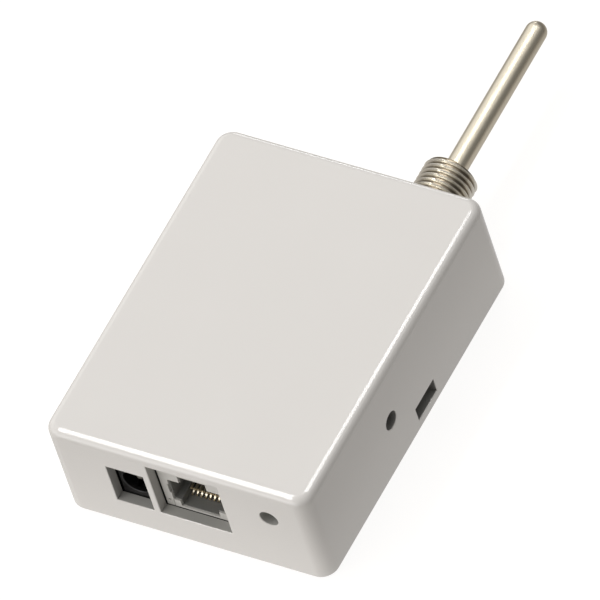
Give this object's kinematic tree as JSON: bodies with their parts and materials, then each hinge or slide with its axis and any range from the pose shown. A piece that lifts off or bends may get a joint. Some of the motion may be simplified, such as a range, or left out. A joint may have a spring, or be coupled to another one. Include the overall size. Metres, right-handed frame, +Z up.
{
  "type": "network temperature sensor",
  "caption": "Small white moulded case with network and power jacks at one end and a thin stainless temperature probe in a threaded fitting at the other.",
  "frame": {"origin": "centre of the case's underside, on the plane that it rests on", "axes": "+X to the side with the data slot, +Y toward the probe, +Z up through the roof of the case"},
  "size_m": [0.062, 0.1344, 0.0258],
  "materials": {
    "case": "moulded ABS with a semi-gloss warm white paint",
    "jack_plastic": "light grey moulded plastic",
    "black_plastic": "black moulded plastic",
    "plated": "nickel plated",
    "aluminium_can": "satin can",
    "board_lacquer": "black solder lacquer on glass laminate",
    "gold_contact": "gold plated spring wire",
    "lamp_lens": "smoked clear lens, unlit",
    "chip_resin": "moulded resin",
    "ferrite": "bare ferrite",
    "fitting_metal": "turned brass, nickel plated",
    "gasket_rubber": "matte",
    "stainless": "drawn tube, fine satin",
    "element_ceramic": "glazed",
    "red_insulation": "wire insulation",
    "white_insulation": "wire insulation",
    "cream_nylon": "moulded nylon"
  },
  "bodies": {
    "root": {"enclosure_cover": "case", "enclosure_base": "case", "base_screw_1": "plated", "base_screw_2": "plated", "base_screw_3": "plated", "base_screw_4": "plated", "circuit_board": "board_lacquer", "board_screw_1": "plated", "board_screw_2": "plated", "board_screw_3": "plated", "board_screw_4": "plated", "ethernet_jack_body": "jack_plastic", "ethernet_contact_1": "gold_contact", "ethernet_contact_2": "gold_contact", "ethernet_contact_3": "gold_contact", "ethernet_contact_4": "gold_contact", "ethernet_contact_5": "gold_contact", "ethernet_contact_6": "gold_contact", "ethernet_contact_7": "gold_contact", "ethernet_contact_8": "gold_contact", "power_jack_body": "black_plastic", "power_jack_pin": "plated", "power_jack_spring": "plated", "data_socket_shell": "plated", "data_socket_tongue": "black_plastic", "status_lamp": "lamp_lens", "status_lamp_holder": "black_plastic", "side_lamp": "lamp_lens", "side_lamp_holder": "black_plastic", "network_chip": "chip_resin", "microcontroller": "chip_resin", "voltage_regulator": "chip_resin", "crystal": "plated", "power_inductor": "ferrite", "filter_capacitor_1": "aluminium_can", "filter_capacitor_2": "aluminium_can", "probe_fitting": "fitting_metal", "fitting_gasket": "gasket_rubber", "fitting_washer": "plated", "fitting_nut": "plated", "probe_sheath": "stainless", "sensor_element": "element_ceramic", "sensor_wire_red": "red_insulation", "sensor_wire_white": "white_insulation", "probe_header": "cream_nylon", "probe_plug": "cream_nylon"}
  },
  "joints": []
}
